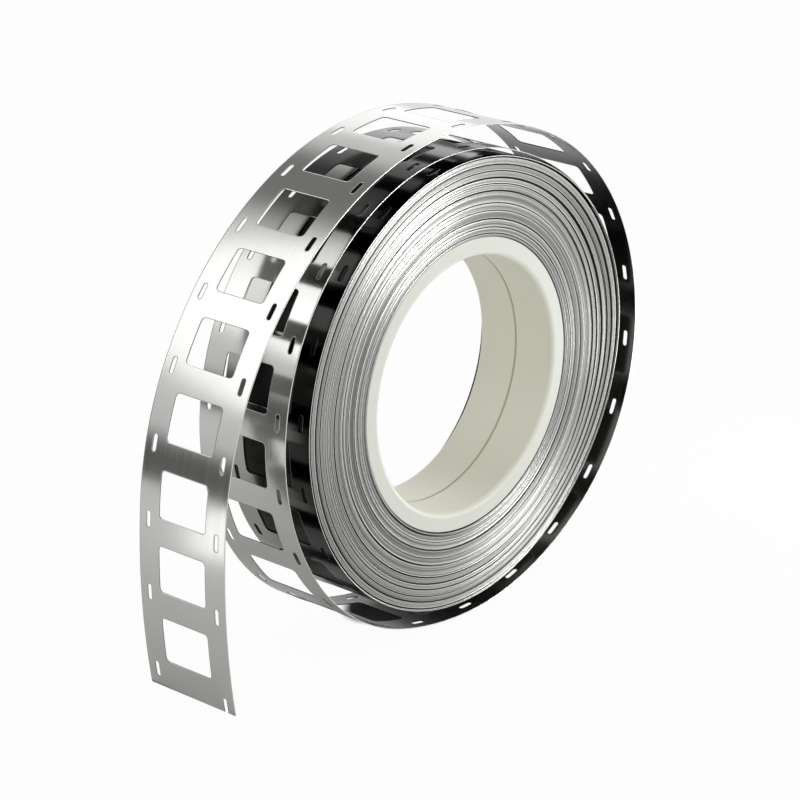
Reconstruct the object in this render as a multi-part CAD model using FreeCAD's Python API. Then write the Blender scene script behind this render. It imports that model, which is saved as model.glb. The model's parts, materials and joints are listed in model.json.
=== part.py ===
import FreeCAD, Part
import math
import os
from FreeCAD import Vector

# A roll of punched nickel strip, the ladder-shaped kind that joins two rows of
# battery cells. It is wound tightly on a moulded plastic ring. The last one and
# a half turns have sprung open, and the free end reaches down beside the roll.
#
# The roll stands on its rim. X points right, Y points away from the viewer
# along the roll's axis, Z points up. The origin is on the axis, in the middle
# of the strip's width.

# Plastic ring
bore_radius = 38.0
ring_wall = 5.5
ring_length = 28.0
bore_bevel = 1.2
outer_bevel = 0.5
ring_inset = 0.3
seam_depth = 0.3
seam_width = 1.0

# Nickel strip, flat sizes
strip_width = 32.5
strip_thickness = 0.2
cell_pitch = 21.5
window_width = 17.5
window_height = 13.5
window_corner_bevel = 0.7
slot_length = 4.8
slot_width = 1.4
slot_end_bevel = 0.4
slot_from_edge = 3.4
slot_lead = 2.7
first_window_from_end = 16.0

# The strip was cut off by hand, through one of its last two slots
last_near_slot_from_end = 2.1
last_far_slot_from_end = 5.4

# Wound part of the strip
turns_wound = 104
air_between_turns = 0.025
strip_on_ring = 0.1

# Where the strip leaves the wound part, and how it springs open from there.
# Each stretch of the loose strip is an arc: how much larger its radius is than
# the roll's, and the angle that it sweeps.
leave_angle = 38.0
leaving = (8.0, 56.0)
over_the_top = (2.0, 61.0)
down_the_left = (5.0, 59.0)
towards_the_floor = (-1.0, 41.0)
flattened_by_the_weight = (36.0, 16.0)
off_the_floor = (15.5, 38.0)
up_the_right = (0.0, 50.0)
back_over_the_top = (8.0, 64.0)
left_again = (23.5, 63.0)
opening_out = (33.0, 51.0)
free_end = (152.0, 14.5)
loose_stretches = [
    leaving,
    over_the_top,
    down_the_left,
    towards_the_floor,
    flattened_by_the_weight,
    off_the_floor,
    up_the_right,
    back_over_the_top,
    left_again,
    opening_out,
    free_end,
]

# Worked out from the sizes above
ring_outer_radius = bore_radius + ring_wall
wound_inner_radius = ring_outer_radius + strip_on_ring
turn_height = strip_thickness + air_between_turns
roll_radius = wound_inner_radius + turns_wound * turn_height
near_edge = -strip_width / 2.0
far_edge = strip_width / 2.0
ring_near_end = near_edge + ring_inset
ring_far_end = ring_near_end + ring_length


class StripPath:
    """Middle line of the loose strip, from the roll to the free end.

    Distances are measured along the strip from where it leaves the roll. The
    arcs follow each other without a kink, counter-clockwise seen from the near
    side.
    """

    def __init__(self, start_angle):
        angle = math.radians(start_angle)
        wound_radius = roll_radius - strip_thickness / 2.0
        x = wound_radius * math.cos(angle)
        z = wound_radius * math.sin(angle)
        heading = angle + math.pi / 2.0
        self.pieces = []
        self.length = 0.0
        for extra_radius, sweep_degrees in loose_stretches:
            radius = roll_radius + extra_radius
            sweep = math.radians(sweep_degrees)
            centre_x = x - radius * math.sin(heading)
            centre_z = z + radius * math.cos(heading)
            self.pieces.append((centre_x, centre_z, radius, heading, sweep, self.length))
            heading += sweep
            x = centre_x + radius * math.sin(heading)
            z = centre_z - radius * math.cos(heading)
            self.length += radius * sweep

    def at(self, distance):
        """Point on the strip and the direction that faces outwards there."""
        for piece in self.pieces:
            centre_x, centre_z, radius, heading, sweep, before = piece
            if distance <= before + radius * sweep:
                break
        turned = heading + (distance - before) / radius
        outward = Vector(math.sin(turned), 0.0, -math.cos(turned))
        centre = Vector(centre_x, 0.0, centre_z)
        return centre + outward * radius, outward

    def side(self, offset):
        """Arcs of the loose strip's outer (+) or inner (-) face, near edge."""
        edges = []
        for centre_x, centre_z, radius, heading, sweep, before in self.pieces:
            points = []
            for share in (0.0, 0.5, 1.0):
                turned = heading + sweep * share
                reach = radius + offset
                points.append(Vector(
                    centre_x + reach * math.sin(turned),
                    near_edge,
                    centre_z - reach * math.cos(turned),
                ))
            edges.append(Part.Arc(*points).toShape())
        return edges

    def free_end_height(self):
        """How far the free end is above the lowest point under the roll."""
        half = strip_thickness / 2.0
        first_turn = 2.0 * math.pi * roll_radius
        lowest = 0.0
        for step in range(int(first_turn)):
            point, outward = self.at(float(step))
            lowest = min(lowest, (point + outward * half).z)
        point, outward = self.at(self.length)
        return (point + outward * half).z - lowest


def settled_path():
    """Roll the part until its free end rests on the floor that the roll is on."""
    low = leave_angle - 10.0
    high = leave_angle + 10.0
    for step in range(30):
        middle = (low + high) / 2.0
        if StripPath(middle).free_end_height() > 0.0:
            low = middle
        else:
            high = middle
    return StripPath(low)


def turned(profile):
    """Solid of revolution about the roll's axis. The profile holds (radius, y)."""
    corners = [Vector(radius, y, 0.0) for radius, y in profile]
    outline = Part.makePolygon(corners + [corners[0]])
    return Part.Face(outline).revolve(Vector(0, 0, 0), Vector(0, 1, 0), 360.0)


def spool_ring():
    """Moulded ring: eased rims, and the mould's seam half-way along the bore."""
    middle = (ring_near_end + ring_far_end) / 2.0
    return turned([
        (bore_radius + bore_bevel, ring_near_end),
        (ring_outer_radius - outer_bevel, ring_near_end),
        (ring_outer_radius, ring_near_end + outer_bevel),
        (ring_outer_radius, ring_far_end - outer_bevel),
        (ring_outer_radius - outer_bevel, ring_far_end),
        (bore_radius + bore_bevel, ring_far_end),
        (bore_radius, ring_far_end - bore_bevel),
        (bore_radius, middle + seam_width / 2.0),
        (bore_radius + seam_depth, middle),
        (bore_radius, middle - seam_width / 2.0),
        (bore_radius, ring_near_end + bore_bevel),
    ])


def punch(length, width, depth_in, depth_out):
    """Block that punches a hole: length runs along the strip, width across it."""
    corner = Vector(-length / 2.0, -width / 2.0, -depth_in)
    return Part.makeBox(length, width, depth_in + depth_out, corner)


def corner_edges(block):
    """The four edges of a punch that stand square to the strip."""
    return [edge for edge in block.Edges
            if abs(edge.tangentAt(edge.FirstParameter).z) > 0.99]


def placed(shape, point, outward, across=0.0):
    """Stand a punch on the strip, its own Z turned outwards."""
    matrix = FreeCAD.Matrix(
        -outward.z, 0.0, outward.x, point.x,
        0.0, 1.0, 0.0, across,
        outward.x, 0.0, outward.z, point.z,
        0.0, 0.0, 0.0, 1.0,
    )
    return shape.transformed(matrix)


def punched_holes(path):
    """Windows and welding slots of the loose strip, from its free end to the roll.

    Where the strip still lies on the roll, they stop at the turn beneath.
    """
    sharpest_bend = roll_radius + min(stretch[0] for stretch in loose_stretches)
    sag = window_height ** 2 / (8.0 * sharpest_bend)
    depth_in = sag + strip_thickness
    depth_out = 2.0 * strip_thickness
    window = punch(window_height, window_width, depth_in, depth_out)
    window = window.makeChamfer(window_corner_bevel, corner_edges(window))
    slot = punch(slot_length, slot_width, depth_in, depth_out)
    slot = slot.makeChamfer(slot_end_bevel, corner_edges(slot))
    slot_rows = (
        (near_edge + slot_from_edge, last_near_slot_from_end),
        (far_edge - slot_from_edge, last_far_slot_from_end),
    )
    turns_beneath = Part.makeCylinder(
        roll_radius - strip_thickness,
        2.0 * strip_width,
        Vector(0.0, -strip_width, 0.0),
        Vector(0.0, 1.0, 0.0),
    )

    def cutter(shape, distance, across=0.0):
        point, outward = path.at(distance)
        tool = placed(shape, point, outward, across)
        if math.hypot(point.x, point.z) < roll_radius + depth_in:
            tool = tool.cut(turns_beneath)
        return tool

    windows = []
    distance = path.length - first_window_from_end
    while distance > window_height:
        windows.append(distance)
        distance -= cell_pitch
    cutters = [cutter(window, distance) for distance in windows]
    for row, last_slot_from_end in slot_rows:
        cutters.append(cutter(slot, path.length - last_slot_from_end, row))
        for distance in windows[1:]:
            slot_distance = distance + cell_pitch / 2.0 - slot_lead
            cutters.append(cutter(slot, slot_distance, row))
    return cutters


def nickel_strip(path):
    """The wound turns as one turned body, and the loose strip that grows out of it."""
    wound = turned([
        (wound_inner_radius, near_edge),
        (roll_radius, near_edge),
        (roll_radius, far_edge),
        (wound_inner_radius, far_edge),
    ])
    outer = path.side(strip_thickness / 2.0)
    inner = path.side(-strip_thickness / 2.0)
    start_cap = Part.makeLine(inner[0].Vertexes[0].Point, outer[0].Vertexes[0].Point)
    end_cap = Part.makeLine(inner[-1].Vertexes[-1].Point, outer[-1].Vertexes[-1].Point)
    outline = Part.Wire(Part.__sortEdges__(outer + inner + [start_cap, end_cap]))
    loose = Part.Face(outline).extrude(Vector(0.0, strip_width, 0.0))
    whole = wound.fuse(loose).removeSplitter()
    return whole.cut(punched_holes(path))


def save(shape, name):
    solid = shape.Solids[0]
    solid.exportStep(os.path.join("parts", name + ".step"))
    print(name, "solids", len(shape.Solids), "valid", solid.isValid(),
          "volume", round(solid.Volume, 1))


os.makedirs("parts", exist_ok=True)
resting_path = settled_path()
print("loose strip length", round(resting_path.length, 1))
save(spool_ring(), "spool_ring")
save(nickel_strip(resting_path), "nickel_strip")
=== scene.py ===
# %% [markdown]
# Lesson: a roll of punched nickel strip
#
# The object is raw stock for battery packs: thin nickel strip, punched like a ladder, wound on a
# moulded plastic ring. The roll stands on its rim. About one and a half turns have sprung loose,
# and the free end reaches down to the floor on the left.
#
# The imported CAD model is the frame. It already holds the sizes, the holes and the place of every
# piece. In this lesson Blender gives the two pieces their real surfaces: the cut edges of a hundred
# turns, the thin dark walls of the punched holes, rolled metal and moulded plastic.

import bpy
import numpy as np
from mathutils import Matrix, Vector
from mathutils.geometry import delaunay_2d_cdt
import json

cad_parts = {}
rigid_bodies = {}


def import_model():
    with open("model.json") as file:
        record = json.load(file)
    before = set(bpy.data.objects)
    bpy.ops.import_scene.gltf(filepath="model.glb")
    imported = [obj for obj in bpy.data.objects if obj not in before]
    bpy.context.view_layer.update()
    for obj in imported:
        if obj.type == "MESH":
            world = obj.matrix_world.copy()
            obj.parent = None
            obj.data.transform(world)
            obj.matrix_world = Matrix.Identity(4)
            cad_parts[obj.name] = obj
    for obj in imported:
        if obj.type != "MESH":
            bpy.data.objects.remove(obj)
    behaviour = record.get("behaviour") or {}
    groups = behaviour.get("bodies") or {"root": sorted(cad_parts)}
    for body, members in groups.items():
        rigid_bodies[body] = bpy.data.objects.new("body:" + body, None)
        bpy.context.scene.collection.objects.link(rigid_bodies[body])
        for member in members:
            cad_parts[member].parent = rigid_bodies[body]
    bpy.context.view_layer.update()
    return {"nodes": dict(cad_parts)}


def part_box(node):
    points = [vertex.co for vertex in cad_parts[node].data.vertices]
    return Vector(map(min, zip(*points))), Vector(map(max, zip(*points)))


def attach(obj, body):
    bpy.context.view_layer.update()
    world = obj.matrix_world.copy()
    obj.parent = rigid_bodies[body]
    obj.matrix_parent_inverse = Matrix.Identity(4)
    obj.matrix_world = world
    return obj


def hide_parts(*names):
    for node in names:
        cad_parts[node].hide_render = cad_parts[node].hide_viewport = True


for leftover in list(bpy.data.objects):
    bpy.data.objects.remove(leftover)
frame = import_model()
print("CAD nodes:", sorted(frame["nodes"]))

# %% [markdown]
# The sizes below are the real ones, in millimetres, because that is how a maker thinks of strip.
# Every mesh is worked out in millimetres and turned to metres when it is put into Blender. The axis
# of the roll is the Y axis, and near means towards the viewer, at negative Y.

# %% Sizes of the strip and its ring, in millimetres
MM = 0.001
ring_low, ring_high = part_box("spool_ring")
ring_near = ring_low.y / MM
ring_far = ring_high.y / MM
ring_outer_radius = ring_high.x / MM
bore_radius = 38.0

strip_low, strip_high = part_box("nickel_strip")
near_edge = strip_low.y / MM
far_edge = strip_high.y / MM
floor_height = strip_low.z

thickness = 0.2
roll_radius = 67.0
strip_on_ring = 0.1
wound_inner_radius = ring_outer_radius + strip_on_ring
cell_pitch = 21.5
window_size = (13.5, 17.5)
window_corner = 1.2
slot_size = (4.8, 1.4)
slot_from_edge = 3.4
slot_lead = 2.7
first_window_from_end = 16.0
last_near_slot_from_end = 2.1
last_far_slot_from_end = 5.4
print("strip width:", round(far_edge - near_edge, 2), "mm")
print("ring length:", round(ring_far - ring_near, 2), "mm")

# %% [markdown]
# The loose strip keeps the line that the CAD source gives it: a row of arcs, each given by how
# much larger its radius is than the roll's and by the angle that it sweeps. Strip that has been
# wound keeps such a curve when it springs open. The start angle is found by rolling the whole part
# until its free end is as low as the lowest point of the first turn, because both rest on the
# floor.

# %% The line that the loose strip follows
LOOSE_STRETCHES = np.array([
    (8.0, 56.0), (2.0, 61.0), (5.0, 59.0), (-1.0, 41.0), (36.0, 16.0), (15.5, 38.0),
    (0.0, 50.0), (8.0, 64.0), (23.5, 63.0), (33.0, 51.0), (152.0, 14.5),
])
arc_radii = roll_radius + LOOSE_STRETCHES[:, 0]
arc_sweeps = np.radians(LOOSE_STRETCHES[:, 1])
arc_ends = np.cumsum(arc_radii * arc_sweeps)
arc_starts = arc_ends - arc_radii * arc_sweeps
loose_length = arc_ends[-1]


def outward_at(heading):
    """Unit vectors (x, z) that face out of the roll for a strip that runs along heading."""
    return np.stack([np.sin(heading), -np.cos(heading)], axis=-1)


def loose_line(distance, start_angle):
    """Points and outward directions of the strip's middle line.

    Each arc starts where the last one ends, with the same heading. A point is the arc's centre
    plus its radius times the outward direction, and the heading grows by distance over radius.
    """
    start = start_angle + np.pi / 2
    headings = start + np.cumsum(arc_sweeps) - arc_sweeps
    steps = (arc_radii[:-1] - arc_radii[1:])[:, None] * outward_at(headings[1:])
    first_centre = (roll_radius - thickness / 2 - arc_radii[0]) * outward_at(start)
    centres = first_centre + np.concatenate([np.zeros((1, 2)), np.cumsum(steps, axis=0)])
    arc = np.clip(np.searchsorted(arc_ends, distance), 0, len(arc_ends) - 1)
    heading = headings[arc] + (distance - arc_starts[arc]) / arc_radii[arc]
    outward = outward_at(heading)
    return centres[arc] + arc_radii[arc][..., None] * outward, outward


def free_end_height(start_angle):
    """How far the free end is above the lowest point of the first turn."""
    distance = np.append(np.arange(0.0, 2 * np.pi * roll_radius, 1.0), loose_length)
    points, outward = loose_line(distance, start_angle)
    heights = points[:, 1] + outward[:, 1] * thickness / 2
    return heights[-1] - heights[:-1].min()


low, high = np.radians([28.0, 48.0])
HALVINGS = 40
for halving in range(HALVINGS):
    leave_angle = (low + high) / 2
    if free_end_height(leave_angle) > 0.0:
        low = leave_angle
    else:
        high = leave_angle
print("the strip leaves the roll at", round(np.degrees(leave_angle), 3), "degrees")
print("loose length:", round(loose_length, 1), "mm")

# %% [markdown]
# Blender stores a mesh as flat arrays. One function takes numpy arrays of points and corners and
# fills the mesh in one go. It also sets the direction that each corner's light is worked out from,
# because a mirror shows every small error that averaged face directions would leave.

# %% Put arrays into a mesh
def mesh_piece(name, points, triangles, normals, flat_map=None, finish=None, tone=None):
    """Make an object from points in mm and triangles, with a normal and a flat place per corner.

    The finish is a material number per triangle. The tone is a number per point, from 0 for dark
    to 1 for bright, which the materials read.
    """
    mesh = bpy.data.meshes.new(name)
    mesh.vertices.add(len(points))
    mesh.vertices.foreach_set("co", (points * MM).astype(np.float32).ravel())
    mesh.loops.add(triangles.size)
    mesh.loops.foreach_set("vertex_index", triangles.astype(np.int32).ravel())
    mesh.polygons.add(len(triangles))
    mesh.polygons.foreach_set("loop_start", np.arange(0, triangles.size, 3, dtype=np.int32))
    mesh.update(calc_edges=True)
    mesh.shade_smooth()
    if flat_map is not None:
        layer = mesh.uv_layers.new(name="flat_strip")
        layer.uv.foreach_set("vector", (flat_map * MM).astype(np.float32).ravel())
    if finish is not None:
        mesh.polygons.foreach_set("material_index", finish.astype(np.int32))
    if tone is not None:
        layer = mesh.attributes.new("tone", "FLOAT", "POINT")
        layer.data.foreach_set("value", tone.astype(np.float32))
    mesh.normals_split_custom_set(normals.reshape(-1, 3).astype(np.float32))
    piece = bpy.data.objects.new(name, mesh)
    bpy.context.scene.collection.objects.link(piece)
    return piece


def unit(vectors):
    """Vectors scaled to length one."""
    return vectors / np.linalg.norm(vectors, axis=-1, keepdims=True)


# %% [markdown]
# The wound part. Every turn is 0.2 mm of metal and a little air. On a real roll the air isn't
# spread evenly: most turns lie tight, and here and there the winder paused and left a slack turn,
# which shows as a dark line. The gap is a smooth function along the strip, and the radius of a
# turn is the radius of the turn below it, plus the metal, plus the gap.

# %% Radius of every turn of the spiral
# Steps in each turn.
COLUMNS = 90
turns_total = 103 + 1 / 3
# Where the slack turns are, counted from the ring, and how much air lies under each.
slack_turns = np.array([
    (3.4, 55.0), (11.8, 28.0), (22.6, 100.0), (33.7, 30.0), (43.4, 50.0), (59.8, 110.0),
    (68.5, 55.0), (75.9, 80.0), (84.7, 60.0), (92.2, 90.0), (101.2, 110.0),
])
turn_numbers = np.arange(0, int(np.ceil(turns_total)) * COLUMNS + 1) / COLUMNS


def smooth_noise(positions, spacing, seed):
    """Random numbers at even spacing, joined by a cosine, from -1 to 1."""
    values = np.random.default_rng(seed).uniform(-1.0, 1.0, int(positions.max() / spacing) + 3)
    cell = np.floor(positions / spacing).astype(int)
    share = (1 - np.cos(np.pi * (positions / spacing - cell))) / 2
    return values[cell] * (1 - share) + values[cell + 1] * share


EVEN_AIR, UNEVEN_AIR, AIR_SPACING = 2.6, 2.0, 0.41
SLACK_REACH = 0.58


def raw_gap(turn):
    """Air below a turn before scaling: an even share, small changes, and the slack turns.

    A slack turn's air is its size times e to the minus fourth power of the distance in turns over
    the reach, so it is nearly even for one turn and then ends quickly.
    """
    gap = EVEN_AIR + UNEVEN_AIR * smooth_noise(turn, AIR_SPACING, seed=5)
    for centre, size in slack_turns:
        gap += size * np.exp(-(((turn - centre) / SLACK_REACH) ** 4))
    return gap


def spiral_radii(gap):
    """Outer radius at each step: the radius one turn earlier, plus metal, plus gap."""
    lift = thickness + gap
    padded = np.zeros(-(-len(lift) // COLUMNS) * COLUMNS)
    padded[:len(lift)] = lift
    padded[:COLUMNS] = 0.0
    below = padded.reshape(-1, COLUMNS).cumsum(axis=0).ravel()[:len(lift)]
    ramp = lift[COLUMNS] * (np.arange(len(lift)) % COLUMNS) / COLUMNS
    return wound_inner_radius + thickness + below + ramp


last_step = turns_total * COLUMNS
steps = np.arange(len(turn_numbers))
without_air = np.interp(last_step, steps, spiral_radii(np.zeros(len(steps))))
with_air = np.interp(last_step, steps, spiral_radii(raw_gap(turn_numbers)))
air_scale = (roll_radius - without_air) / (with_air - without_air)
gaps = raw_gap(turn_numbers) * air_scale
turn_radii = spiral_radii(gaps)
print("mean gap:", round(gaps.mean(), 4), "mm, widest:", round(gaps.max(), 3), "mm")

# %% [markdown]
# The outer turns of this roll aren't quite round. They have slackened on the right, and stand out
# there by up to 3 mm. The bulge is one smooth bump round the roll, and each turn takes the share of
# it that the air below the turn allows. The loose strip follows the same bump where it starts.

# %% The bulge of the outer turns
spiral_start = leave_angle - 2 * np.pi * turns_total
BULGE = 2.9
BULGE_ANGLE, BULGE_REACH = np.radians([14.0, 62.0])
# A turn with less than the tight share of all the roll's air below it keeps round.
TIGHT_SHARE = 0.55
ALL_AIR = roll_radius - wound_inner_radius - thickness * (turns_total + 1.0)
TIGHT_AIR = TIGHT_SHARE * ALL_AIR


def bulge(angle):
    """How far the outermost turn stands out at an angle.

    The distance from the bulge's middle over its reach is squared and taken from one. The rest is
    squared again and multiplied by the bulge.
    """
    return BULGE * np.clip(1.0 - ((angle - BULGE_ANGLE) / BULGE_REACH) ** 2, 0.0, 1.0) ** 2


def turn_radius(turn):
    """Outer radius of the spiral at a turn number, with its share of the bulge."""
    angle = np.angle(np.exp(1j * (spiral_start + 2 * np.pi * turn)))
    radius = np.interp(turn * COLUMNS, steps, turn_radii)
    air_below = radius - wound_inner_radius - thickness * (turn + 1.0)
    grown = np.clip((air_below - TIGHT_AIR) / (ALL_AIR - TIGHT_AIR), 0.0, 1.0)
    return radius + bulge(angle) * grown


print("the outermost turn stands out by up to", BULGE, "mm")

# %% [markdown]
# The end faces of the roll are made of the strip's slit edges. One profile is carried along the
# spiral: the inner corner of the edge, the ridge in its middle, its outer corner, and the floor of
# the gap outside it. The points of one turn join those of the next, so a hundred turns are one
# closed surface. Each edge leans a little and stands a little high or low, as real turns do, and a
# slack turn sinks and is painted dark as shade. The two halves of an edge slope away from the
# ridge, and their normals turn a little on the way, because slitting leaves a soft edge. Those
# slopes draw the bright fans on the roll.

# %% Shape of the end faces
body_turns = turns_total - 1.0
body_steps = int(round(body_turns * COLUMNS))
step_turns = np.arange(body_steps + 1) / COLUMNS
# A turn's number changes somewhere in this part of the turn, over twice this share of it.
CHANGE_WITHIN = (0.1, 0.9)
HALF_CHANGE = 0.06


def turn_by_turn(turn, seed):
    """A random number for every turn, from -1 to 1, that changes at a random place in each turn."""
    random = np.random.default_rng(seed)
    count = int(turns_total) + 3
    values = random.uniform(-1.0, 1.0, count)
    changes = np.arange(count - 1) + random.uniform(*CHANGE_WITHIN, count - 1)
    knots = np.stack([changes - HALF_CHANGE, changes + HALF_CHANGE], axis=1).ravel()
    return np.interp(turn, knots, np.stack([values[:-1], values[1:]], axis=1).ravel())


SLACK_HALF_TURN = 0.56


def slackness(turn):
    """Nearly one within half a turn of a slack turn, else zero: e to the minus sixth power."""
    distance = np.abs(turn[:, None] - slack_turns[:, 0]).min(axis=1)
    return np.exp(-((distance / SLACK_HALF_TURN) ** 6))


# How far the edges lie below the strip's full width, in mm, and how they lean, in degrees. A group
# is a few turns that lie alike, and its length is in turns.
LOW, LOW_BY_TURN, LOW_BY_GROUP, LOW_GROUP = 0.17, 0.05, 0.04, 3.7
LEAN, LEAN_BY_TURN, LEAN_BY_GROUP, LEAN_GROUP = 3.0, 3.6, 2.4, 1.9
SUNK_BY = 1.1
# A gap is so many times as deep as it is wide, within these limits in mm.
GAP_DEEPER_THAN_WIDE = 14.0
GAP_DEPTH_LIMITS = (0.05, 2.5)


def edge_shape(turn, seed):
    """How low an edge sits, how it leans and how deep the gap beside it is."""
    low_by = LOW + LOW_BY_GROUP * smooth_noise(turn, LOW_GROUP, seed)
    low_by += LOW_BY_TURN * turn_by_turn(turn, seed + 1) + SUNK_BY * slackness(turn)
    lean = LEAN + LEAN_BY_TURN * turn_by_turn(turn, seed + 2)
    lean += LEAN_BY_GROUP * smooth_noise(turn, LEAN_GROUP, seed + 3)
    gap_outside = np.interp(turn * COLUMNS + COLUMNS, steps, gaps)
    depth = np.clip(gap_outside * GAP_DEEPER_THAN_WIDE, *GAP_DEPTH_LIMITS)
    return low_by, np.radians(lean), depth


TONE, TONE_BY_TURN, TONE_BY_GROUP, TONE_GROUP = 0.43, 0.22, 0.16, 2.3
# The turns beside a slack one stand free, and get a painted highlight of so much.
SLACK_SIDE_HIGHLIGHT = 0.3
BESIDE = 1.1


def edge_tone(turn, seed):
    """Edge tone, 0 to 1: random turns and groups, painted shade on a slack turn, highlight beside.
    """
    single = turn_by_turn(turn, seed)
    group = smooth_noise(turn, TONE_GROUP, seed + 1)
    side_highlight = SLACK_SIDE_HIGHLIGHT * (slackness(turn + BESIDE) + slackness(turn - BESIDE))
    # A slack turn is painted dark as shade, and the turns beside it get a painted highlight.
    tone = TONE + TONE_BY_TURN * single + TONE_BY_GROUP * group + side_highlight - slackness(turn)
    return np.clip(tone, 0.0, 1.0)


# %% Points and normals of the end faces
# The ridge's height in mm, and the slopes' normals beside the ridge and at the corners, in degrees.
RIDGE_UP = 0.03
GENTLE, STEEP = 14.0, 25.0


def end_face(face_y, outward_sign, seed):
    """Points (steps, 4, 3) and normals (steps, 5, 3) of one end face of the wound part.

    The points are inner corner, ridge, outer corner and gap floor. The ridge has two normals, one
    for each slope, and that is why there are five.
    """
    angle = spiral_start + 2 * np.pi * step_turns
    radius = turn_radius(step_turns)
    next_inner = turn_radius(step_turns + 1.0) - thickness
    low_by, lean, depth = edge_shape(step_turns, seed)
    slope = np.tan(lean) * thickness / 2
    heights = np.stack([low_by + slope, low_by - RIDGE_UP, low_by - slope, low_by + depth], axis=1)
    radii = np.stack(
        [radius - thickness, radius - thickness / 2, radius, (radius + next_inner) / 2], axis=1
    )
    points = np.empty((len(angle), 4, 3))
    points[:, :, 0] = radii * np.cos(angle)[:, None]
    points[:, :, 1] = face_y - outward_sign * heights
    points[:, :, 2] = radii * np.sin(angle)[:, None]
    tilt = lean[:, None] + np.radians([-STEEP, -GENTLE, GENTLE, STEEP, 0.0])
    normals = np.empty((len(angle), 5, 3))
    normals[:, :, 0] = np.sin(tilt) * np.cos(angle)[:, None]
    normals[:, :, 1] = outward_sign * np.cos(tilt)
    normals[:, :, 2] = np.sin(tilt) * np.sin(angle)[:, None]
    return points, normals


near_points, near_normals = end_face(near_edge, -1.0, seed=11)
far_points, far_normals = end_face(far_edge, 1.0, seed=31)
body_tones = np.concatenate([np.repeat(edge_tone(step_turns, seed), 4) for seed in (51, 61)])
print("points on each end face:", near_points.shape[0] * near_points.shape[1])

# %% [markdown]
# The two end faces are joined by the outside of the last turn, the inside of the first turn and
# two tiny steps where the spiral starts and stops. Counting every corner from one index, step
# times the number in the profile plus the place in it, lets whole blocks of quads be written at
# once. The corners are counted as normals, five to a step, and turned to points, four to a step.

# %% Join the end faces into one closed body
def face_corners():
    """Corners of an end face's quads: both slopes of the metal, then both walls of the gap."""
    with_turn_outside = body_steps - COLUMNS
    blocks = []
    for one, other, count in (
        (0, 1, body_steps), (2, 3, body_steps),
        (3, 4, with_turn_outside), (4, 5 * COLUMNS, with_turn_outside),
    ):
        here = 5 * np.arange(count)[:, None]
        blocks.append(here + np.array([one, 5 + one, 5 + other, other]))
    return np.concatenate(blocks)


def as_points(corners):
    """The point under each corner, because two of the five normals stand on the ridge."""
    return corners // 5 * 4 + np.array([0, 1, 1, 2, 3])[corners % 5]


def joined(near_line, far_line):
    """Quads between a line of points on the near face and the same line on the far face."""
    return np.stack([near_line[:-1], near_line[1:], far_line[1:], far_line[:-1]], axis=1)


def facet_normals(points, quads):
    """One direction per quad from its diagonals, repeated for its four corners."""
    corner = points[quads]
    across = np.cross(corner[:, 2] - corner[:, 0], corner[:, 3] - corner[:, 1])
    return np.repeat(unit(across)[:, None, :], 4, axis=1)


far_first = 4 * (body_steps + 1)
body_points = np.concatenate([near_points.reshape(-1, 3), far_points.reshape(-1, 3)])
last, last_but_one_turn = 4 * body_steps, 4 * (body_steps - COLUMNS)
outside_line = (4 * np.arange(body_steps - COLUMNS, body_steps + 1) + 2)[::-1]
inside_line = 4 * np.arange(COLUMNS + 1)
stop_line = np.array([last_but_one_turn + 2, last_but_one_turn + 3, last, last + 1, last + 2])
start_line = np.array([4 * COLUMNS, 3, 2, 1, 0])

far_corners = face_corners()
near_corners = far_corners[:, ::-1]
side_quads = np.concatenate([
    joined(line, line + far_first) for line in (outside_line, inside_line, stop_line, start_line)
])
body_quads = np.concatenate([
    as_points(near_corners), as_points(far_corners) + far_first, side_quads
])
corner_normals = np.concatenate([
    near_normals.reshape(-1, 3)[near_corners],
    far_normals.reshape(-1, 3)[far_corners],
    facet_normals(body_points, side_quads),
])
# Material 0 is for the slit edges, 1 for the walls of the gaps and the sides, painted dark as
# shade.
is_gap = np.arange(len(far_corners)) >= 2 * body_steps
quad_finish = np.concatenate([is_gap, is_gap, np.ones(len(side_quads), dtype=bool)])


def split(per_corner):
    """Two triangles' corners from each quad's corners, for indices and normals alike."""
    return np.concatenate([per_corner[:, [0, 1, 2]], per_corner[:, [0, 2, 3]]])


def without_spares(triangles):
    """Numbers of the points that the triangles use, and the triangles in the new numbers."""
    used, renumbered = np.unique(triangles, return_inverse=True)
    return used, renumbered.reshape(triangles.shape)


used_points, body_triangles = without_spares(split(body_quads))
wound_turns = mesh_piece(
    "nickel_strip_wound_turns", body_points[used_points], body_triangles, split(corner_normals),
    finish=np.tile(quad_finish, 2), tone=body_tones[used_points],
)
print("wound turns:", len(body_triangles), "triangles")

# %% [markdown]
# The loose strip starts flat. One cell of the ladder is a window and two welding slots between
# two straight edges. Blender's own triangulation takes the outlines and a few lines across, and
# gives triangles that never cross a line. What lies in a hole is then left out, and the cell is
# repeated along the strip. The lines across are needed because the strip is going to be bent.

# %% Draw one cell of the ladder, flat
def rounded_outline(centre, size, radius, corner_steps=5):
    """Points of a rounded rectangle: a quarter circle about each corner's own centre."""
    half = np.array(size) / 2 - radius
    quarter = np.linspace(0.0, np.pi / 2, corner_steps + 1)
    turns = np.arange(4)[:, None] * np.pi / 2 + quarter
    signs = np.array([(1, 1), (-1, 1), (-1, -1), (1, -1)])
    ring = signs[:, None, :] * half + radius * np.stack([np.cos(turns), np.sin(turns)], axis=-1)
    return ring.reshape(-1, 2) + centre


def inside_hole(points, centre, size, radius):
    """Whether points are in a rounded rectangle: the distance to its inner core is under radius."""
    reach = np.maximum(np.abs(points - centre) - (np.array(size) / 2 - radius), 0.0)
    return np.linalg.norm(reach, axis=1) < radius


# Width of the band along each edge and hole where the metal is drawn in, in mm.
ROLLED_IN = 0.25
SAME_POINT = 1e-5


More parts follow.
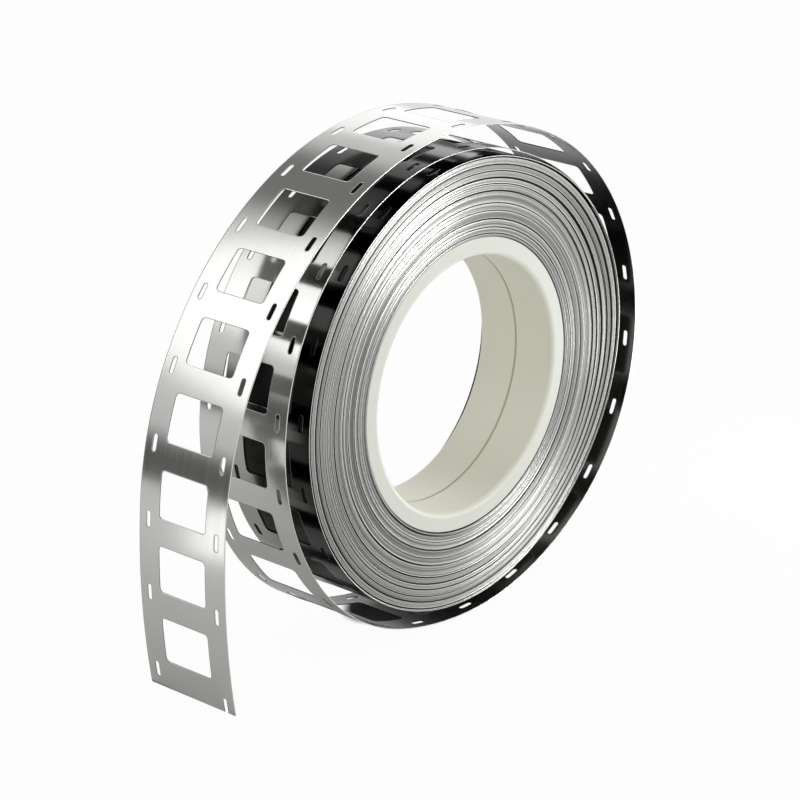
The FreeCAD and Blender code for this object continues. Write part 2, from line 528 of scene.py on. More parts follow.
def flat_cell(start, stop, holes, rows):
    """Points and triangles of a stretch of flat strip with holes, each (centre, size, radius).

    A second outline around each hole, and a line beside each long edge, bound the narrow band
    where the metal is drawn in by the punch or the knife.
    """
    widths = (near_edge, near_edge + ROLLED_IN, far_edge - ROLLED_IN, far_edge)
    lines = np.array([[(at, y) for y in widths] for at in np.linspace(start, stop, rows + 1)])
    index = np.arange(4 * (rows + 1)).reshape(-1, 4)
    points = [lines.reshape(-1, 2)]
    edges = [np.stack([index[:, i], index[:, i + 1]], axis=1) for i in range(3)]
    edges += [np.stack([index[:-1, i], index[1:, i]], axis=1) for i in range(4)]
    count = index.size
    for centre, size, radius in holes:
        for wider in (0.0, ROLLED_IN):
            outline = rounded_outline(centre, np.array(size) + 2 * wider, radius + wider)
            index = count + np.arange(len(outline))
            points.append(outline)
            edges.append(np.stack([index, np.roll(index, -1)], axis=1))
            count += len(outline)
    given = [Vector(p) for p in np.concatenate(points)]
    found = delaunay_2d_cdt(given, np.concatenate(edges).tolist(), [], 0, SAME_POINT)
    flat = np.array([tuple(p) for p in found[0]])
    triangles = np.array(found[2])
    middle = flat[triangles].mean(axis=1)
    keep = (middle[:, 0] > start) & (middle[:, 0] < stop)
    for centre, size, radius in holes:
        keep &= ~inside_hole(middle, centre, size, radius)
    return flat, triangles[keep]


# A slot's ends are half circles but for this much, in mm, so that no two points fall together.
TINY = 1e-3


def ladder_holes(middle, near_slot_at, far_slot_at):
    """A window centred at middle and its two slots, at their places along the strip."""
    slot_round = slot_size[1] / 2 - TINY
    return [
        (np.array([middle, 0.0]), window_size, window_corner),
        (np.array([near_slot_at, near_edge + slot_from_edge]), slot_size, slot_round),
        (np.array([far_slot_at, far_edge - slot_from_edge]), slot_size, slot_round),
    ]


# Lines across one cell, close enough that the bent strip looks round. The last stretch is longer.
ROWS = 16
LAST_ROWS = ROWS + 4
half_cell = cell_pitch / 2
slot_at = half_cell - slot_lead
cell_holes = ladder_holes(0.0, slot_at, slot_at)
cell_points, cell_triangles = flat_cell(-half_cell, half_cell, cell_holes, ROWS)
print("one cell:", len(cell_points), "points,", len(cell_triangles), "triangles")

# %% Repeat the cell along the whole strip
last_window = loose_length - first_window_from_end
outer_turn_length = 2 * np.pi * (roll_radius - thickness / 2)
cell_count = int((last_window - half_cell + outer_turn_length) // cell_pitch)
plain_stop = last_window - half_cell - (cell_count - 1) * cell_pitch
parts = [flat_cell(-outer_turn_length, plain_stop, [], ROWS)]
for number in range(1, cell_count):
    shift = np.array([last_window - number * cell_pitch, 0.0])
    parts.append((cell_points + shift, cell_triangles))
end_holes = ladder_holes(
    last_window, loose_length - last_near_slot_from_end, loose_length - last_far_slot_from_end
)
parts.append(flat_cell(last_window - half_cell, loose_length, end_holes, LAST_ROWS))

counts = np.cumsum([0] + [len(points) for points, triangles in parts])
all_points = np.concatenate([points for points, triangles in parts])
all_triangles = np.concatenate([part[1] + first for part, first in zip(parts, counts)])
first_seen, merged = np.unique(
    np.round(all_points, 4), axis=0, return_index=True, return_inverse=True
)[1:]
used_points, flat_triangles = without_spares(merged.ravel()[all_triangles])
flat_points = all_points[first_seen][used_points]
print("flat strip:", cell_count, "windows,", len(flat_triangles), "triangles")

# %% [markdown]
# Now the flat strip is bent and given its thickness. Each point knows its distance along the
# strip, so it moves to the middle line and then half a thickness out or in. Distance zero is where
# the strip leaves the roll. The turn before that is the outermost wound one, and the CAD source
# leaves its windows out. The rim of every hole and both long edges get a wall. Its normals lean a
# little towards the two faces, which rounds the cut edge to the eye without an extra triangle.

# %% Bend the strip and close its edges
def middle_line(distance):
    """Middle line (x, z) of the strip, before and after it leaves the roll."""
    loose_points, loose_outward = loose_line(np.maximum(distance, 0.0), leave_angle)
    travelled = leave_angle + np.maximum(distance, 0.0) / roll_radius
    loose_points = loose_points + bulge(travelled)[:, None] * loose_outward
    turn = turns_total + distance / outer_turn_length
    angle = leave_angle + 2 * np.pi * (turn - turns_total)
    wound_outward = np.stack([np.cos(angle), np.sin(angle)], axis=-1)
    wound_points = (turn_radius(turn) - thickness / 2)[:, None] * wound_outward
    return np.where((distance < 0.0)[:, None], wound_points, loose_points)


def to_space(plane, y):
    """Points or directions (x, z) with their y put in the middle."""
    return np.stack([plane[:, 0], y, plane[:, 1]], axis=1)


def rim_edges(triangles):
    """Edges that only one triangle has, in that triangle's own direction."""
    edges = np.concatenate([triangles[:, [0, 1]], triangles[:, [1, 2]], triangles[:, [2, 0]]])
    key = np.sort(edges, axis=1)
    index, count = np.unique(key, axis=0, return_index=True, return_counts=True)[1:]
    return edges[index[count == 1]]


# The direction is measured so far ahead and behind, in mm.
STEP_ALONG = 0.5
middle = middle_line(flat_points[:, 0])
ahead = middle_line(flat_points[:, 0] + STEP_ALONG)
behind = middle_line(flat_points[:, 0] - STEP_ALONG)
along = unit(ahead - behind)
outward = np.stack([along[:, 1], -along[:, 0]], axis=1)
across = flat_points[:, 1]
no_width = np.zeros(len(flat_points))
outer_points = to_space(middle + outward * thickness / 2, across)
inner_points = to_space(middle - outward * thickness / 2, across)
outward_3d = to_space(outward, no_width)
along_3d = to_space(along, no_width)

corner = outer_points[flat_triangles]
facing = np.cross(corner[:, 1] - corner[:, 0], corner[:, 2] - corner[:, 0])
backwards = (facing * outward_3d[flat_triangles[:, 0]]).sum(axis=1) < 0.0
flat_triangles[backwards] = flat_triangles[backwards][:, ::-1]

# %% Walls of the holes and edges
rim = rim_edges(flat_triangles)
point_count = len(flat_points)
rim_starts, rim_stops = rim[:, 0], rim[:, 1]
wall_quads = np.stack(
    [rim_stops, rim_starts, rim_starts + point_count, rim_stops + point_count], axis=1
)
side = flat_points[rim_stops] - flat_points[rim_starts]
out_of_metal = unit(np.stack([-side[:, 1], side[:, 0]], axis=1))
EDGE_LEAN = np.tan(np.radians(30.0))


def wall_directions():
    """Corner normals of the walls: square to the rim, leaning towards the nearer face."""
    ends = []
    for end, lean in ((1, EDGE_LEAN), (0, EDGE_LEAN), (0, -EDGE_LEAN), (1, -EDGE_LEAN)):
        index = rim[:, end]
        normal = out_of_metal[:, :1] * along_3d[index] + lean * outward_3d[index]
        normal[:, 1] += out_of_metal[:, 1]
        ends.append(unit(normal))
    return np.stack(ends, axis=1)


def face_directions(outward_sign, roll_degrees):
    """Normals of a face: square to the strip, but tipped over the rim at the points on it."""
    tip = np.zeros((point_count, 2))
    for end in (0, 1):
        np.add.at(tip, rim[:, end], out_of_metal)
    on_rim = np.linalg.norm(tip, axis=1) > TINY
    tip[on_rim] = unit(tip[on_rim]) * np.tan(np.radians(roll_degrees))
    normal = outward_sign * outward_3d + tip[:, :1] * along_3d
    normal[:, 1] += tip[:, 1]
    return unit(normal)


# The punch and the knife came from outside, so the outer face is drawn in more than the inner one.
OUTER_ROLL, INNER_ROLL = 48.0, 20.0
outer_normals = face_directions(1.0, OUTER_ROLL)
inner_normals = face_directions(-1.0, INNER_ROLL)
wall_corner_normals = wall_directions()
wall_geometry = facet_normals(np.concatenate([outer_points, inner_points]), wall_quads)
agreement = (wall_geometry[:, 0] * wall_corner_normals.mean(axis=1)).sum(axis=1)
print("walls:", len(wall_quads), "of which face out:", int((agreement > 0).sum()))

# %% [markdown]
# Where the strip lies in shade, under another loop or against the roll, its metal is painted
# darker as painted shade. Two tables give how free of it each face is, from 0 to 1, at distances
# along the strip from where it leaves the roll. Between the rows of a table the tone changes
# evenly.

# %% Make the loose strip
OUTER_SHADE_TONE = np.array([
    (-150.0, 0.0), (-115.0, 1.0), (-35.0, 1.0), (-10.0, 0.0), (95.0, 0.05), (140.0, 1.0),
])
INNER_SHADE_TONE = np.array([
    (305.0, 0.0), (340.0, 1.0), (410.0, 1.0), (440.0, 0.1), (480.0, 0.1), (620.0, 1.0),
])
inner_triangles = flat_triangles[:, ::-1] + point_count
strip_points = np.concatenate([outer_points, inner_points])
strip_triangles = np.concatenate([flat_triangles, inner_triangles, split(wall_quads)])
strip_normals = np.concatenate([
    outer_normals[flat_triangles],
    inner_normals[flat_triangles[:, ::-1]],
    split(wall_corner_normals),
])
strip_flat_map = np.concatenate([flat_points, flat_points])[strip_triangles]
lies_on_roll = flat_points[flat_triangles, 0].mean(axis=1) < 0.0
slit = np.abs(flat_points[rim, 1]).max(axis=1) > far_edge - TINY
# Material 0 is the free outer face. Material 1 is the inner face and what lies on the roll, a
# darker copy as painted shade. Material 2 is the walls that the punch sheared, painted near black
# as shade, and material 3 is the slit long edges.
strip_finish = np.concatenate([
    lies_on_roll, np.ones(len(inner_triangles)), np.tile(np.where(slit, 3, 2), 2)
])
# How free of painted shade each point is: 1 for bare metal, 0 for full painted shade.
unshaded_share = np.concatenate([
    np.interp(flat_points[:, 0], table[:, 0], table[:, 1]) for table in (OUTER_SHADE_TONE, INNER_SHADE_TONE)
])
# The far half of the outermost wound turn is kept free of painted shade. Its near half takes the
# tables' painted shade.
far_half_unshaded = (np.tile(flat_points[:, 0], 2) < 0.0) & (np.tile(flat_points[:, 1], 2) > 0.0)
unshaded_share = np.where(far_half_unshaded, 1.0, unshaded_share)
loose_strip = mesh_piece(
    "nickel_strip_loose_turns", strip_points, strip_triangles, strip_normals,
    strip_flat_map, strip_finish, unshaded_share,
)
print("loose strip:", len(strip_triangles), "triangles")

# %% [markdown]
# The ring is moulded plastic, so none of its edges is sharp. Its section is a closed outline whose
# corners are rounded by arcs, and turning the section about the axis gives the ring. The normals
# are square to the section's own line, so the flat rim stays flat and the corners shine softly.

# %% Round the corners of a section
def rounded_section(corners, radii, corner_steps=5):
    """Points and outward normals of a closed outline whose corners become arcs.

    The arc of a corner touches both of its sides. Its centre is on the line that halves the
    corner, and its normals turn evenly from one side's to the other's.
    """
    before = unit(corners - np.roll(corners, 1, axis=0))
    after = np.roll(before, -1, axis=0)
    turn = np.arctan2(
        before[:, 0] * after[:, 1] - before[:, 1] * after[:, 0], (before * after).sum(axis=1)
    )
    cut = radii * np.tan(np.abs(turn) / 2)
    share = np.linspace(0.0, 1.0, corner_steps + 1)
    heading = np.arctan2(before[:, 1], before[:, 0])[:, None] + turn[:, None] * share
    normals = np.stack([np.sin(heading), -np.cos(heading)], axis=-1)
    first = corners - before * cut[:, None]
    reach = (radii * np.sign(turn))[:, None, None]
    points = first[:, None, :] + reach * (normals - normals[:, :1])
    return points.reshape(-1, 2), normals.reshape(-1, 2)


def turned_piece(name, section, section_normals, columns):
    """Turn a closed section of (radius, y) points about the Y axis."""
    count = len(section)
    angle = np.linspace(0.0, 2 * np.pi, columns, endpoint=False)
    ring = np.stack([np.cos(angle), np.sin(angle)], axis=1)

    def around(values):
        """The (radius, y) values at every column, as x, y and z."""
        return np.stack([
            ring[:, None, 0] * values[:, 0],
            np.broadcast_to(values[:, 1], (columns, count)),
            ring[:, None, 1] * values[:, 0],
        ], axis=-1).reshape(-1, 3)

    column, row = np.meshgrid(np.arange(columns), np.arange(count), indexing="ij")
    next_column, next_row = (column + 1) % columns, (row + 1) % count
    here, there = column * count, next_column * count
    quads = np.stack([here + row, here + next_row, there + next_row, there + row], axis=-1)
    quads = quads.reshape(-1, 4)
    normals = around(section_normals)[quads]
    return mesh_piece(name, around(section), split(quads), split(normals))


# %% Make the ring
rim_round = 1.6
outer_round = 0.35
seam_depth = 0.3
seam_width = 1.0
seam_round = 0.2
seam_at = (ring_near + ring_far) / 2
ring_corners = np.array([
    (bore_radius, ring_near, rim_round),
    (ring_outer_radius, ring_near, outer_round),
    (ring_outer_radius, ring_far, outer_round),
    (bore_radius, ring_far, rim_round),
    (bore_radius, seam_at + seam_width / 2, seam_round),
    (bore_radius + seam_depth, seam_at, seam_round),
    (bore_radius, seam_at - seam_width / 2, seam_round),
])
section, section_normals = rounded_section(ring_corners[:, :2], ring_corners[:, 2])
spool_ring = turned_piece("spool_ring_moulded", section, section_normals, columns=144)
print("ring:", len(spool_ring.data.polygons), "triangles")

# %% [markdown]
# Materials. One function writes down a colour as people know it, one adds a node. Values that are
# the same all over go straight onto the shader's own sockets.

# %% Colour and node helpers
def linear(hex_colour):
    """Turn an sRGB hex colour to linear red, green, blue and full alpha.

    Up to 0.04045 a channel is divided by 12.92. Above, it becomes (channel + 0.055) / 1.055 to
    the power 2.4.
    """
    srgb = np.array([int(hex_colour[i:i + 2], 16) for i in (1, 3, 5)]) / 255
    light = np.where(srgb <= 0.04045, srgb / 12.92, ((srgb + 0.055) / 1.055) ** 2.4)
    return (*light, 1.0)


def add_node(tree, kind, sockets=None, **settings):
    """Add a node. A socket gets a value, or is linked where it is given another node's output."""
    node = tree.nodes.new(kind)
    for name, value in settings.items():
        setattr(node, name, value)
    for name, value in (sockets or {}).items():
        if isinstance(value, bpy.types.NodeSocket):
            tree.links.new(value, node.inputs[name])
        else:
            node.inputs[name].default_value = value
    return node


def new_material(name):
    """An empty material: its node tree, its Principled shader and itself."""
    material = bpy.data.materials.new(name)
    material.use_nodes = True
    tree = material.node_tree
    return material, tree, tree.nodes["Principled BSDF"]


# %% [markdown]
# Rolled nickel. Pure nickel strip leaves polished steel rolls, so its faces are bright but not
# perfect mirrors. Faint lines run along the strip, the way it went through the rolls. They are
# really a few hundredths of a millimetre apart, and are drawn about 0.8 mm apart, some twenty times
# as coarse, to show. Where the mesh's tone is low, the metal is painted darker: painted shade.

# %% Rolled nickel for the faces of the strip
# Rolling lines a metre, along and across the strip.
LINES_PER_METRE = (14.0, 1300.0, 1.0)


def rolled_metal(name, duller, brighter):
    """Rolled strip: faint clouds, painted shade where the mesh's tone is low, polish in long lines.
    """
    material, tree, shader = new_material(name)
    flat_map = add_node(tree, "ShaderNodeUVMap", uv_map="flat_strip")
    stretched = add_node(
        tree, "ShaderNodeMapping", {"Vector": flat_map.outputs["UV"], "Scale": LINES_PER_METRE}
    )
    roll_lines = add_node(
        tree, "ShaderNodeTexNoise",
        {"Vector": stretched.outputs["Vector"], "Scale": 1.0, "Detail": 1.0},
    )
    clouds = add_node(
        tree, "ShaderNodeTexNoise",
        {"Vector": flat_map.outputs["UV"], "Scale": 60.0, "Detail": 2.0},
    )
    cloudy_colour = add_node(
        tree, "ShaderNodeMix",
        {"Factor": clouds.outputs["Fac"], "A": linear(duller), "B": linear(brighter)},
        data_type="RGBA",
    )
    # Where the tone is low, the colour goes towards near black: painted shade.
    unshaded_share = add_node(tree, "ShaderNodeAttribute", attribute_name="tone")
    tone = add_node(
        tree, "ShaderNodeMix",
        {"Factor": unshaded_share.outputs["Fac"], "A": linear("#2A2A29"), "B": cloudy_colour.outputs["Result"]},
        data_type="RGBA",
    )
    polish = add_node(
        tree, "ShaderNodeMapRange",
        {"Value": roll_lines.outputs["Fac"], "To Min": 0.13, "To Max": 0.2},
    )
    lines = add_node(
        tree, "ShaderNodeBump",
        {"Height": roll_lines.outputs["Fac"], "Strength": 0.02, "Distance": 0.0001},
    )
    tree.links.new(tone.outputs["Result"], shader.inputs["Base Color"])
    tree.links.new(polish.outputs["Result"], shader.inputs["Roughness"])
    tree.links.new(lines.outputs["Normal"], shader.inputs["Normal"])
    shader.inputs["Metallic"].default_value = 1.0
    return material


def plain_metal(name, colour, roughness):
    """Metal of one tone and one roughness."""
    material, tree, shader = new_material(name)
    shader.inputs["Base Color"].default_value = linear(colour)
    shader.inputs["Metallic"].default_value = 1.0
    shader.inputs["Roughness"].default_value = roughness
    return material


# The punch tears the walls of the holes and leaves them dull, and their near black colour is
# painted shade. The knives leave the edges bright.
rolled_nickel = rolled_metal("rolled_nickel", "#B3B3B1", "#BEBEBB")
# A darker copy of the rolled nickel: painted shade on the inner faces and the wound turn.
shaded_nickel = rolled_metal("rolled_nickel_painted_shade_side", "#979794", "#A1A19E")
shaded_wall_nickel = plain_metal("nickel_walls_painted_shade", "#2B2A29", 0.4)
knife_nickel = plain_metal("slit_nickel_long_edges", "#E0DFDC", 0.25)
for material in (rolled_nickel, shaded_nickel, shaded_wall_nickel, knife_nickel):
    loose_strip.data.materials.append(material)

# %% [markdown]
# Slit edges. The coil was slit from a wide sheet by round knives, which leave each edge brushed
# and a little rounded. Tone and polish change from turn to turn, so the material reads the tone
# that the mesh keeps for every turn. The tone is random, but for painted shade on the slack turns
# and a painted highlight beside them.

# %% Slit nickel for the end faces of the wound turns
slit_nickel, tree, shader = new_material("slit_nickel_edges")
turn_tone = add_node(tree, "ShaderNodeAttribute", attribute_name="tone")
turn_colour = add_node(
    tree, "ShaderNodeMix",
    {"Factor": turn_tone.outputs["Fac"], "A": linear("#3C3B3A"), "B": linear("#E6E6E3")},
    data_type="RGBA",
)
turn_roughness = add_node(
    tree, "ShaderNodeMapRange",
    {"Value": turn_tone.outputs["Fac"], "To Min": 0.31, "To Max": 0.24},
)
tree.links.new(turn_colour.outputs["Result"], shader.inputs["Base Color"])
tree.links.new(turn_roughness.outputs["Result"], shader.inputs["Roughness"])
shader.inputs["Metallic"].default_value = 1.0
wound_turns.data.materials.append(slit_nickel)
wound_turns.data.materials.append(shaded_wall_nickel)

# %% [markdown]
# Moulded plastic. The ring is white polypropylene from a mould, slightly greenish, with a satin
# face. Light sinks in a little, which keeps its shadows soft. The bore is drawn a little yellower
# than the rim, and lighter as painted light against the shade inside it. The mould's seam
# half-way along the bore has gathered some dust.

# %% Moulded polypropylene for the ring
# Distances from the seam's middle at which its dust is gone and full, as shares of its width.
DUST_GONE, DUST_FULL = 0.45, 0.15

polypropylene, tree, shader = new_material("moulded_polypropylene")
place = add_node(tree, "ShaderNodeTexCoord")
in_plane = add_node(
    tree, "ShaderNodeMapping", {"Vector": place.outputs["Object"], "Scale": (1.0, 0.0, 1.0)}
)
radius = add_node(
    tree, "ShaderNodeVectorMath", {0: in_plane.outputs["Vector"]}, operation="LENGTH"
)
in_bore = add_node(
    tree, "ShaderNodeMapRange",
    {
        "Value": radius.outputs["Value"],
        "From Min": (bore_radius + rim_round) * MM,
        "From Max": bore_radius * MM,
    },
)
along_axis = add_node(tree, "ShaderNodeSeparateXYZ", {"Vector": place.outputs["Object"]})
from_seam = add_node(
    tree, "ShaderNodeMath", {0: along_axis.outputs["Y"], 1: seam_at * MM}, operation="SUBTRACT"
)
seam_distance = add_node(
    tree, "ShaderNodeMath", {0: from_seam.outputs["Value"]}, operation="ABSOLUTE"
)
in_seam = add_node(
    tree, "ShaderNodeMapRange",
    {
        "Value": seam_distance.outputs["Value"],
        "From Min": DUST_GONE * seam_width * MM,
        "From Max": DUST_FULL * seam_width * MM,
    },
)
seam_in_bore = add_node(
    tree, "ShaderNodeMath",
    {0: in_seam.outputs["Result"], 1: in_bore.outputs["Result"]}, operation="MULTIPLY",
)
# The bore is lighter than the rim: painted light against the shade inside the bore.
bore_colour = add_node(
    tree, "ShaderNodeMix",
    {"Factor": in_bore.outputs["Result"], "A": linear("#DADDD4"), "B": linear("#ECEBDD")},
    data_type="RGBA",
)
ring_colour = add_node(
    tree, "ShaderNodeMix",
    {
        "Factor": seam_in_bore.outputs["Value"],
        "A": bore_colour.outputs["Result"],
        "B": linear("#B3A67F"),
    },
    data_type="RGBA",
)
grain = add_node(
    tree, "ShaderNodeTexNoise",
    {"Vector": place.outputs["Object"], "Scale": 900.0, "Detail": 3.0},
)
grain_height = add_node(
    tree, "ShaderNodeBump", {"Height": grain.outputs["Fac"], "Strength": 0.08, "Distance": 0.0002}
)
grain_roughness = add_node(
    tree, "ShaderNodeMapRange", {"Value": grain.outputs["Fac"], "To Min": 0.38, "To Max": 0.5}
)
tree.links.new(ring_colour.outputs["Result"], shader.inputs["Base Color"])
tree.links.new(grain_height.outputs["Normal"], shader.inputs["Normal"])
tree.links.new(grain_roughness.outputs["Result"], shader.inputs["Roughness"])
shader.inputs["IOR"].default_value = 1.49
shader.inputs["Subsurface Weight"].default_value = 0.15
shader.inputs["Subsurface Radius"].default_value = (0.004, 0.004, 0.003)
spool_ring.data.materials.append(polypropylene)

# %% Tie the pieces to the CAD nodes
for piece, node in (
    (wound_turns, "nickel_strip"), (loose_strip, "nickel_strip"), (spool_ring, "spool_ring")
):
    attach(piece, "root")
    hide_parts(node)

# %% [markdown]
# The studio. The photograph's background is plain white, so the floor and the world show white
# where the camera, a reflection or a clear material looks at them. The floor keeps a part of its
# own shading, and with it the shadow of the roll. In reflections it is darker near the roll than
# the camera sees it, a painted shade for the roll's shadow. A small patch right under the roll is
# painted dark and doesn't glow, and stands in for the contact shadow.

# %% White floor and white world
CAMERA_GLOW = 0.96
ROOM_LIGHT = 0.55
WHITE = (1.0, 1.0, 1.0, 1.0)
# Sizes on the floor, in metres. Up to the first distance from the roll's foot the mirrored floor
# glows least, a painted shade, and from the second on fully.
MIRRORED_DARK, MIRRORED_BRIGHT = 0.07, 0.24
LEAST_GLOW = 0.05
PATCH_AT = (-0.002, 0.004)
PATCH_REACH = (0.026, 0.015)
# Where the patch's edge is clear and where it is full, as shares of its reach.
PATCH_CLEAR, PATCH_FULL = 1.0, 0.8
FLOOR_SIZE = 6.0


def background_rays(tree, camera_share, glossy_share):
    """The share of background white for camera, glossy and transmission rays, else zero."""
    rays = add_node(tree, "ShaderNodeLightPath")
    seen = add_node(
        tree, "ShaderNodeMath",
        {0: rays.outputs["Is Camera Ray"], 1: rays.outputs["Is Transmission Ray"]},
        operation="MAXIMUM",
    )
    seen_share = add_node(
        tree, "ShaderNodeMath", {0: seen.outputs["Value"], 1: camera_share}, operation="MULTIPLY"
    )
    glossy = add_node(
        tree, "ShaderNodeMath",
        {0: rays.outputs["Is Glossy Ray"], 1: glossy_share}, operation="MULTIPLY",
    )
    return add_node(
        tree, "ShaderNodeMath",
        {0: seen_share.outputs["Value"], 1: glossy.outputs["Value"]}, operation="MAXIMUM",
    ).outputs["Value"]


def rectangle(name, size, height, material):
    """A flat rectangle about the origin, facing up."""
    mesh = bpy.data.meshes.new(name)
    corners = np.array([(-1, -1), (1, -1), (1, 1), (-1, 1)]) * np.array(size) / 2
    mesh.from_pydata([(x, y, height) for x, y in corners], [], [(0, 1, 2, 3)])
    mesh.materials.append(material)
    piece = bpy.data.objects.new(name, mesh)
    bpy.context.scene.collection.objects.link(piece)
    return piece


paper, tree, shader = new_material("white_paper_floor")
shader.inputs["Roughness"].default_value = 0.9
glow = add_node(tree, "ShaderNodeEmission", {"Color": WHITE, "Strength": 1.0})
place = add_node(tree, "ShaderNodeTexCoord")
on_floor = add_node(
    tree, "ShaderNodeMapping", {"Vector": place.outputs["Object"], "Scale": (1.0, 1.0, 0.0)}
)
from_roll = add_node(
    tree, "ShaderNodeVectorMath", {0: on_floor.outputs["Vector"]}, operation="LENGTH"
)
# In reflections the floor glows less near the roll: painted shade for the roll's shadow.
mirrored_glow = add_node(
    tree, "ShaderNodeMapRange",
    {
        "Value": from_roll.outputs["Value"],
        "From Min": MIRRORED_DARK,
        "From Max": MIRRORED_BRIGHT,
        "To Min": LEAST_GLOW,
    },
)
under_roll_place = add_node(
    tree, "ShaderNodeMapping",
    {
        "Vector": place.outputs["Object"],
        "Location": (-PATCH_AT[0] / PATCH_REACH[0], -PATCH_AT[1] / PATCH_REACH[1], 0.0),
        "Scale": (1 / PATCH_REACH[0], 1 / PATCH_REACH[1], 0.0),
    },
)
from_contact = add_node(
    tree, "ShaderNodeVectorMath", {0: under_roll_place.outputs["Vector"]}, operation="LENGTH"
)
under_roll = add_node(
    tree, "ShaderNodeMapRange",
    {"Value": from_contact.outputs["Value"], "From Min": PATCH_CLEAR, "From Max": PATCH_FULL},
    interpolation_type="SMOOTHSTEP",
)
paper_colour = add_node(
    tree, "ShaderNodeMix",
    {"Factor": under_roll.outputs["Result"], "A": linear("#F6F6F4"), "B": linear("#60605E")},
    data_type="RGBA",
)
tree.links.new(paper_colour.outputs["Result"], shader.inputs["Base Color"])
seen_glow = add_node(
    tree, "ShaderNodeMapRange",
    {"Value": under_roll.outputs["Result"], "To Min": CAMERA_GLOW, "To Max": 0.0},
)
shown = add_node(
    tree, "ShaderNodeMixShader",
    {"Fac": background_rays(tree, seen_glow.outputs["Result"], mirrored_glow.outputs["Result"])},
)
tree.links.new(shader.outputs["BSDF"], shown.inputs[1])
tree.links.new(glow.outputs["Emission"], shown.inputs[2])
tree.links.new(shown.outputs["Shader"], tree.nodes["Material Output"].inputs["Surface"])

floor = rectangle("floor", (FLOOR_SIZE, FLOOR_SIZE), floor_height, paper)

world = bpy.data.worlds.new("studio")
bpy.context.scene.world = world
world.use_nodes = True
tree = world.node_tree
room_strength = add_node(
    tree, "ShaderNodeMapRange",
    {"Value": background_rays(tree, 1.0, 1.0), "To Min": ROOM_LIGHT, "To Max": 1.0},
)
room = tree.nodes["Background"]
room.inputs["Color"].default_value = WHITE
tree.links.new(room_strength.outputs["Result"], room.inputs["Strength"])
print("floor at", round(floor_height / MM, 1), "mm")

# %% [markdown]
# Light. Metal is only as good as what it reflects. Two lamps light the loose turns from above and
# behind. The one in front makes the two bright fans on the end face. Three small ones stand low and
# near the roll, one for the loops on the left and two for the end face beside the bore. Two black
# cards, seen only in reflections, stand where the photograph's dark bands are. A direction is given
# by its turn about the roll's axis, from the right over the top, and by its lean to the back.

# %% Soft boxes and black cards
# Distances from the roll's middle, in metres.
LAMP_DISTANCE = 1.1
CARD_DISTANCE = 0.95 * LAMP_DISTANCE
# The card is clear at its long edges and full in its middle, at these shares of its width.
CARD_CLEAR, CARD_FULL = 0.5, 0.2


def direction(turn_degrees, back):
    """Unit vector at an angle about the Y axis whose y part is back."""
    turn = np.radians(turn_degrees)
    flat = np.sqrt(1.0 - back * back)
    return Vector((flat * np.cos(turn), back, flat * np.sin(turn)))


def facing_roll(towards, distance):
    """A placement at that distance, its X along the turn about the axis, its Z off the roll."""
    x_axis = Vector((0.0, 1.0, 0.0)).cross(towards).normalized()
    y_axis = towards.cross(x_axis)
    turned = Matrix((x_axis, y_axis, towards)).transposed().to_4x4()
    return Matrix.Translation(towards * distance) @ turned


def soft_box(name, towards, size, radiance, distance=LAMP_DISTANCE, shape="RECTANGLE"):
    """An area lamp that adds so much radiance, one being as bright as the background.

    Its power is the radiance times pi times its area. An ellipse has pi / 4 of the rectangle's.
    """
    lamp = bpy.data.lights.new(name, "AREA")
    lamp.shape = shape
    lamp.size, lamp.size_y = size
    lamp.energy = radiance * np.pi * size[0] * size[1] * (np.pi / 4 if shape == "ELLIPSE" else 1.0)
    box = bpy.data.objects.new(name, lamp)
    box.matrix_world = facing_roll(towards, distance)
    box.visible_camera = False
    bpy.context.scene.collection.objects.link(box)


def black_card(name, towards, size, darkness, distance=CARD_DISTANCE):
    """A card that only reflections see, dark in its middle and clear at its long edges."""
    material, tree, shader = new_material(name)
    place = add_node(tree, "ShaderNodeTexCoord")
    parts = add_node(tree, "ShaderNodeSeparateXYZ", {"Vector": place.outputs["Object"]})
    side = add_node(tree, "ShaderNodeMath", {0: parts.outputs["X"]}, operation="ABSOLUTE")
    shade = add_node(
        tree, "ShaderNodeMapRange",
        {
            "Value": side.outputs["Value"],
            "From Min": size[0] * CARD_CLEAR,
            "From Max": size[0] * CARD_FULL,
            "To Max": darkness,
        },
        interpolation_type="SMOOTHSTEP",
    )
    clear = add_node(tree, "ShaderNodeBsdfTransparent")
    black = add_node(tree, "ShaderNodeEmission", {"Color": (0.0, 0.0, 0.0, 1.0)})
    mixed = add_node(
        tree, "ShaderNodeMixShader",
        {"Fac": shade.outputs["Result"], 1: clear.outputs["BSDF"], 2: black.outputs["Emission"]},
    )
    tree.links.new(mixed.outputs["Shader"], tree.nodes["Material Output"].inputs["Surface"])
    card = rectangle(name, size, 0.0, material)
    card.matrix_world = facing_roll(towards, distance)
    for rays in ("camera", "diffuse", "shadow", "transmission"):
        setattr(card, "visible_" + rays, False)


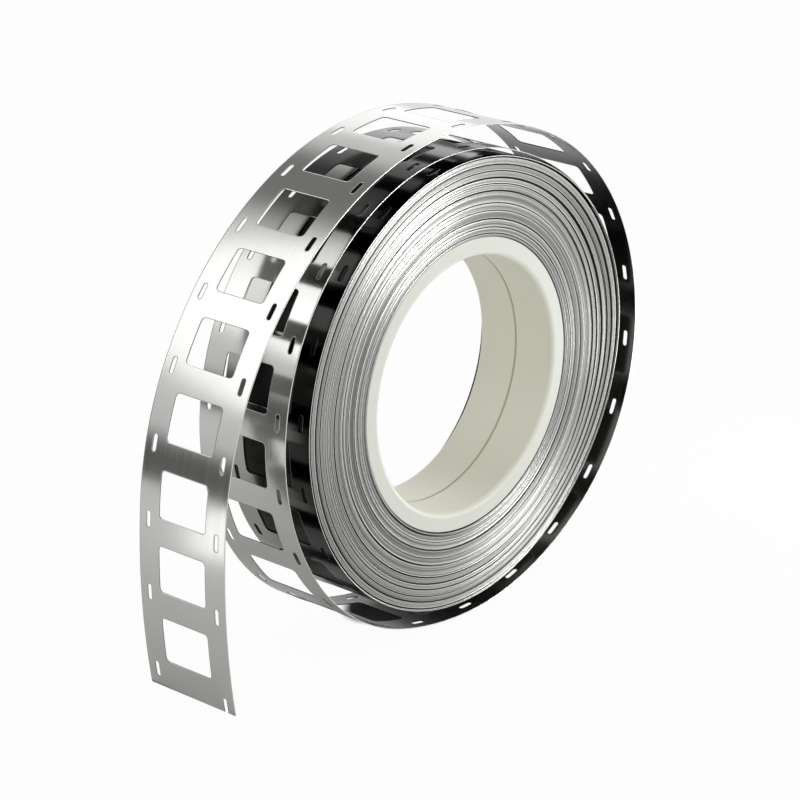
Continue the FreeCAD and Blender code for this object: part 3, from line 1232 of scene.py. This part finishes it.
soft_box("upper_left_box", direction(135.5, 0.56), (0.48, 0.12), 1.3, 0.5, "ELLIPSE")
soft_box("upper_right_box", direction(33.0, 0.65), (0.5, 0.5), 0.7)
soft_box("front_box", direction(17.0, -0.863), (0.27, 0.45), 12.5)
soft_box("low_left_box", direction(197.8, 0.318), (0.05, 0.03), 1.1, 0.21, "ELLIPSE")
soft_box("low_right_box", direction(-15.3, -0.173), (0.06, 0.06), 4.2, 0.232, "ELLIPSE")
soft_box("side_box", direction(-13.3, -0.3375), (0.07, 0.07), 4.0, 0.207, "ELLIPSE")
black_card("top_card", direction(82.0, 0.65), (0.68, 1.6), 0.7)
black_card("left_card", direction(186.0, 0.64), (0.12, 0.7), 0.85, distance=0.4)
print("lamps:", len(bpy.data.lights))

# %% Camera at the photograph's angle
# These numbers lay the model's outlines over the photograph's. Angles are in degrees, distances in
# mm, and the focal length and the aim in pixels.
CAMERA_TURN, CAMERA_DROP, CAMERA_ROLL = np.radians([48.7398, 19.6955, 1.0391])
FOCAL_PIXELS = 3040.9
IMAGE_PIXELS = 800
CAMERA_DISTANCE = 878.37
AIM_OFFSET = (26.62, -27.22)
looking = np.array([
    np.sin(CAMERA_TURN) * np.cos(CAMERA_DROP),
    np.cos(CAMERA_TURN) * np.cos(CAMERA_DROP),
    -np.sin(CAMERA_DROP),
])
level = np.array([np.cos(CAMERA_TURN), -np.sin(CAMERA_TURN), 0.0])
upright = np.cross(level, looking)
right = level * np.cos(CAMERA_ROLL) + upright * np.sin(CAMERA_ROLL)
upward = upright * np.cos(CAMERA_ROLL) - level * np.sin(CAMERA_ROLL)
mm_per_pixel = CAMERA_DISTANCE / FOCAL_PIXELS
aside = -right * AIM_OFFSET[0] * mm_per_pixel + upward * AIM_OFFSET[1] * mm_per_pixel
stand = -looking * CAMERA_DISTANCE + aside

lens = bpy.data.cameras.new("camera")
lens.sensor_width = 36.0
lens.lens = FOCAL_PIXELS / IMAGE_PIXELS * lens.sensor_width
camera = bpy.data.objects.new("camera", lens)
camera.matrix_world = Matrix.Translation(Vector(stand * MM)) @ Matrix(
    (right, upward, -looking)
).transposed().to_4x4()
bpy.context.scene.collection.objects.link(camera)
bpy.context.scene.camera = camera
bpy.context.scene.view_settings.view_transform = "Standard"
print("camera in mm:", stand.round(1))

# %% Import json
import json
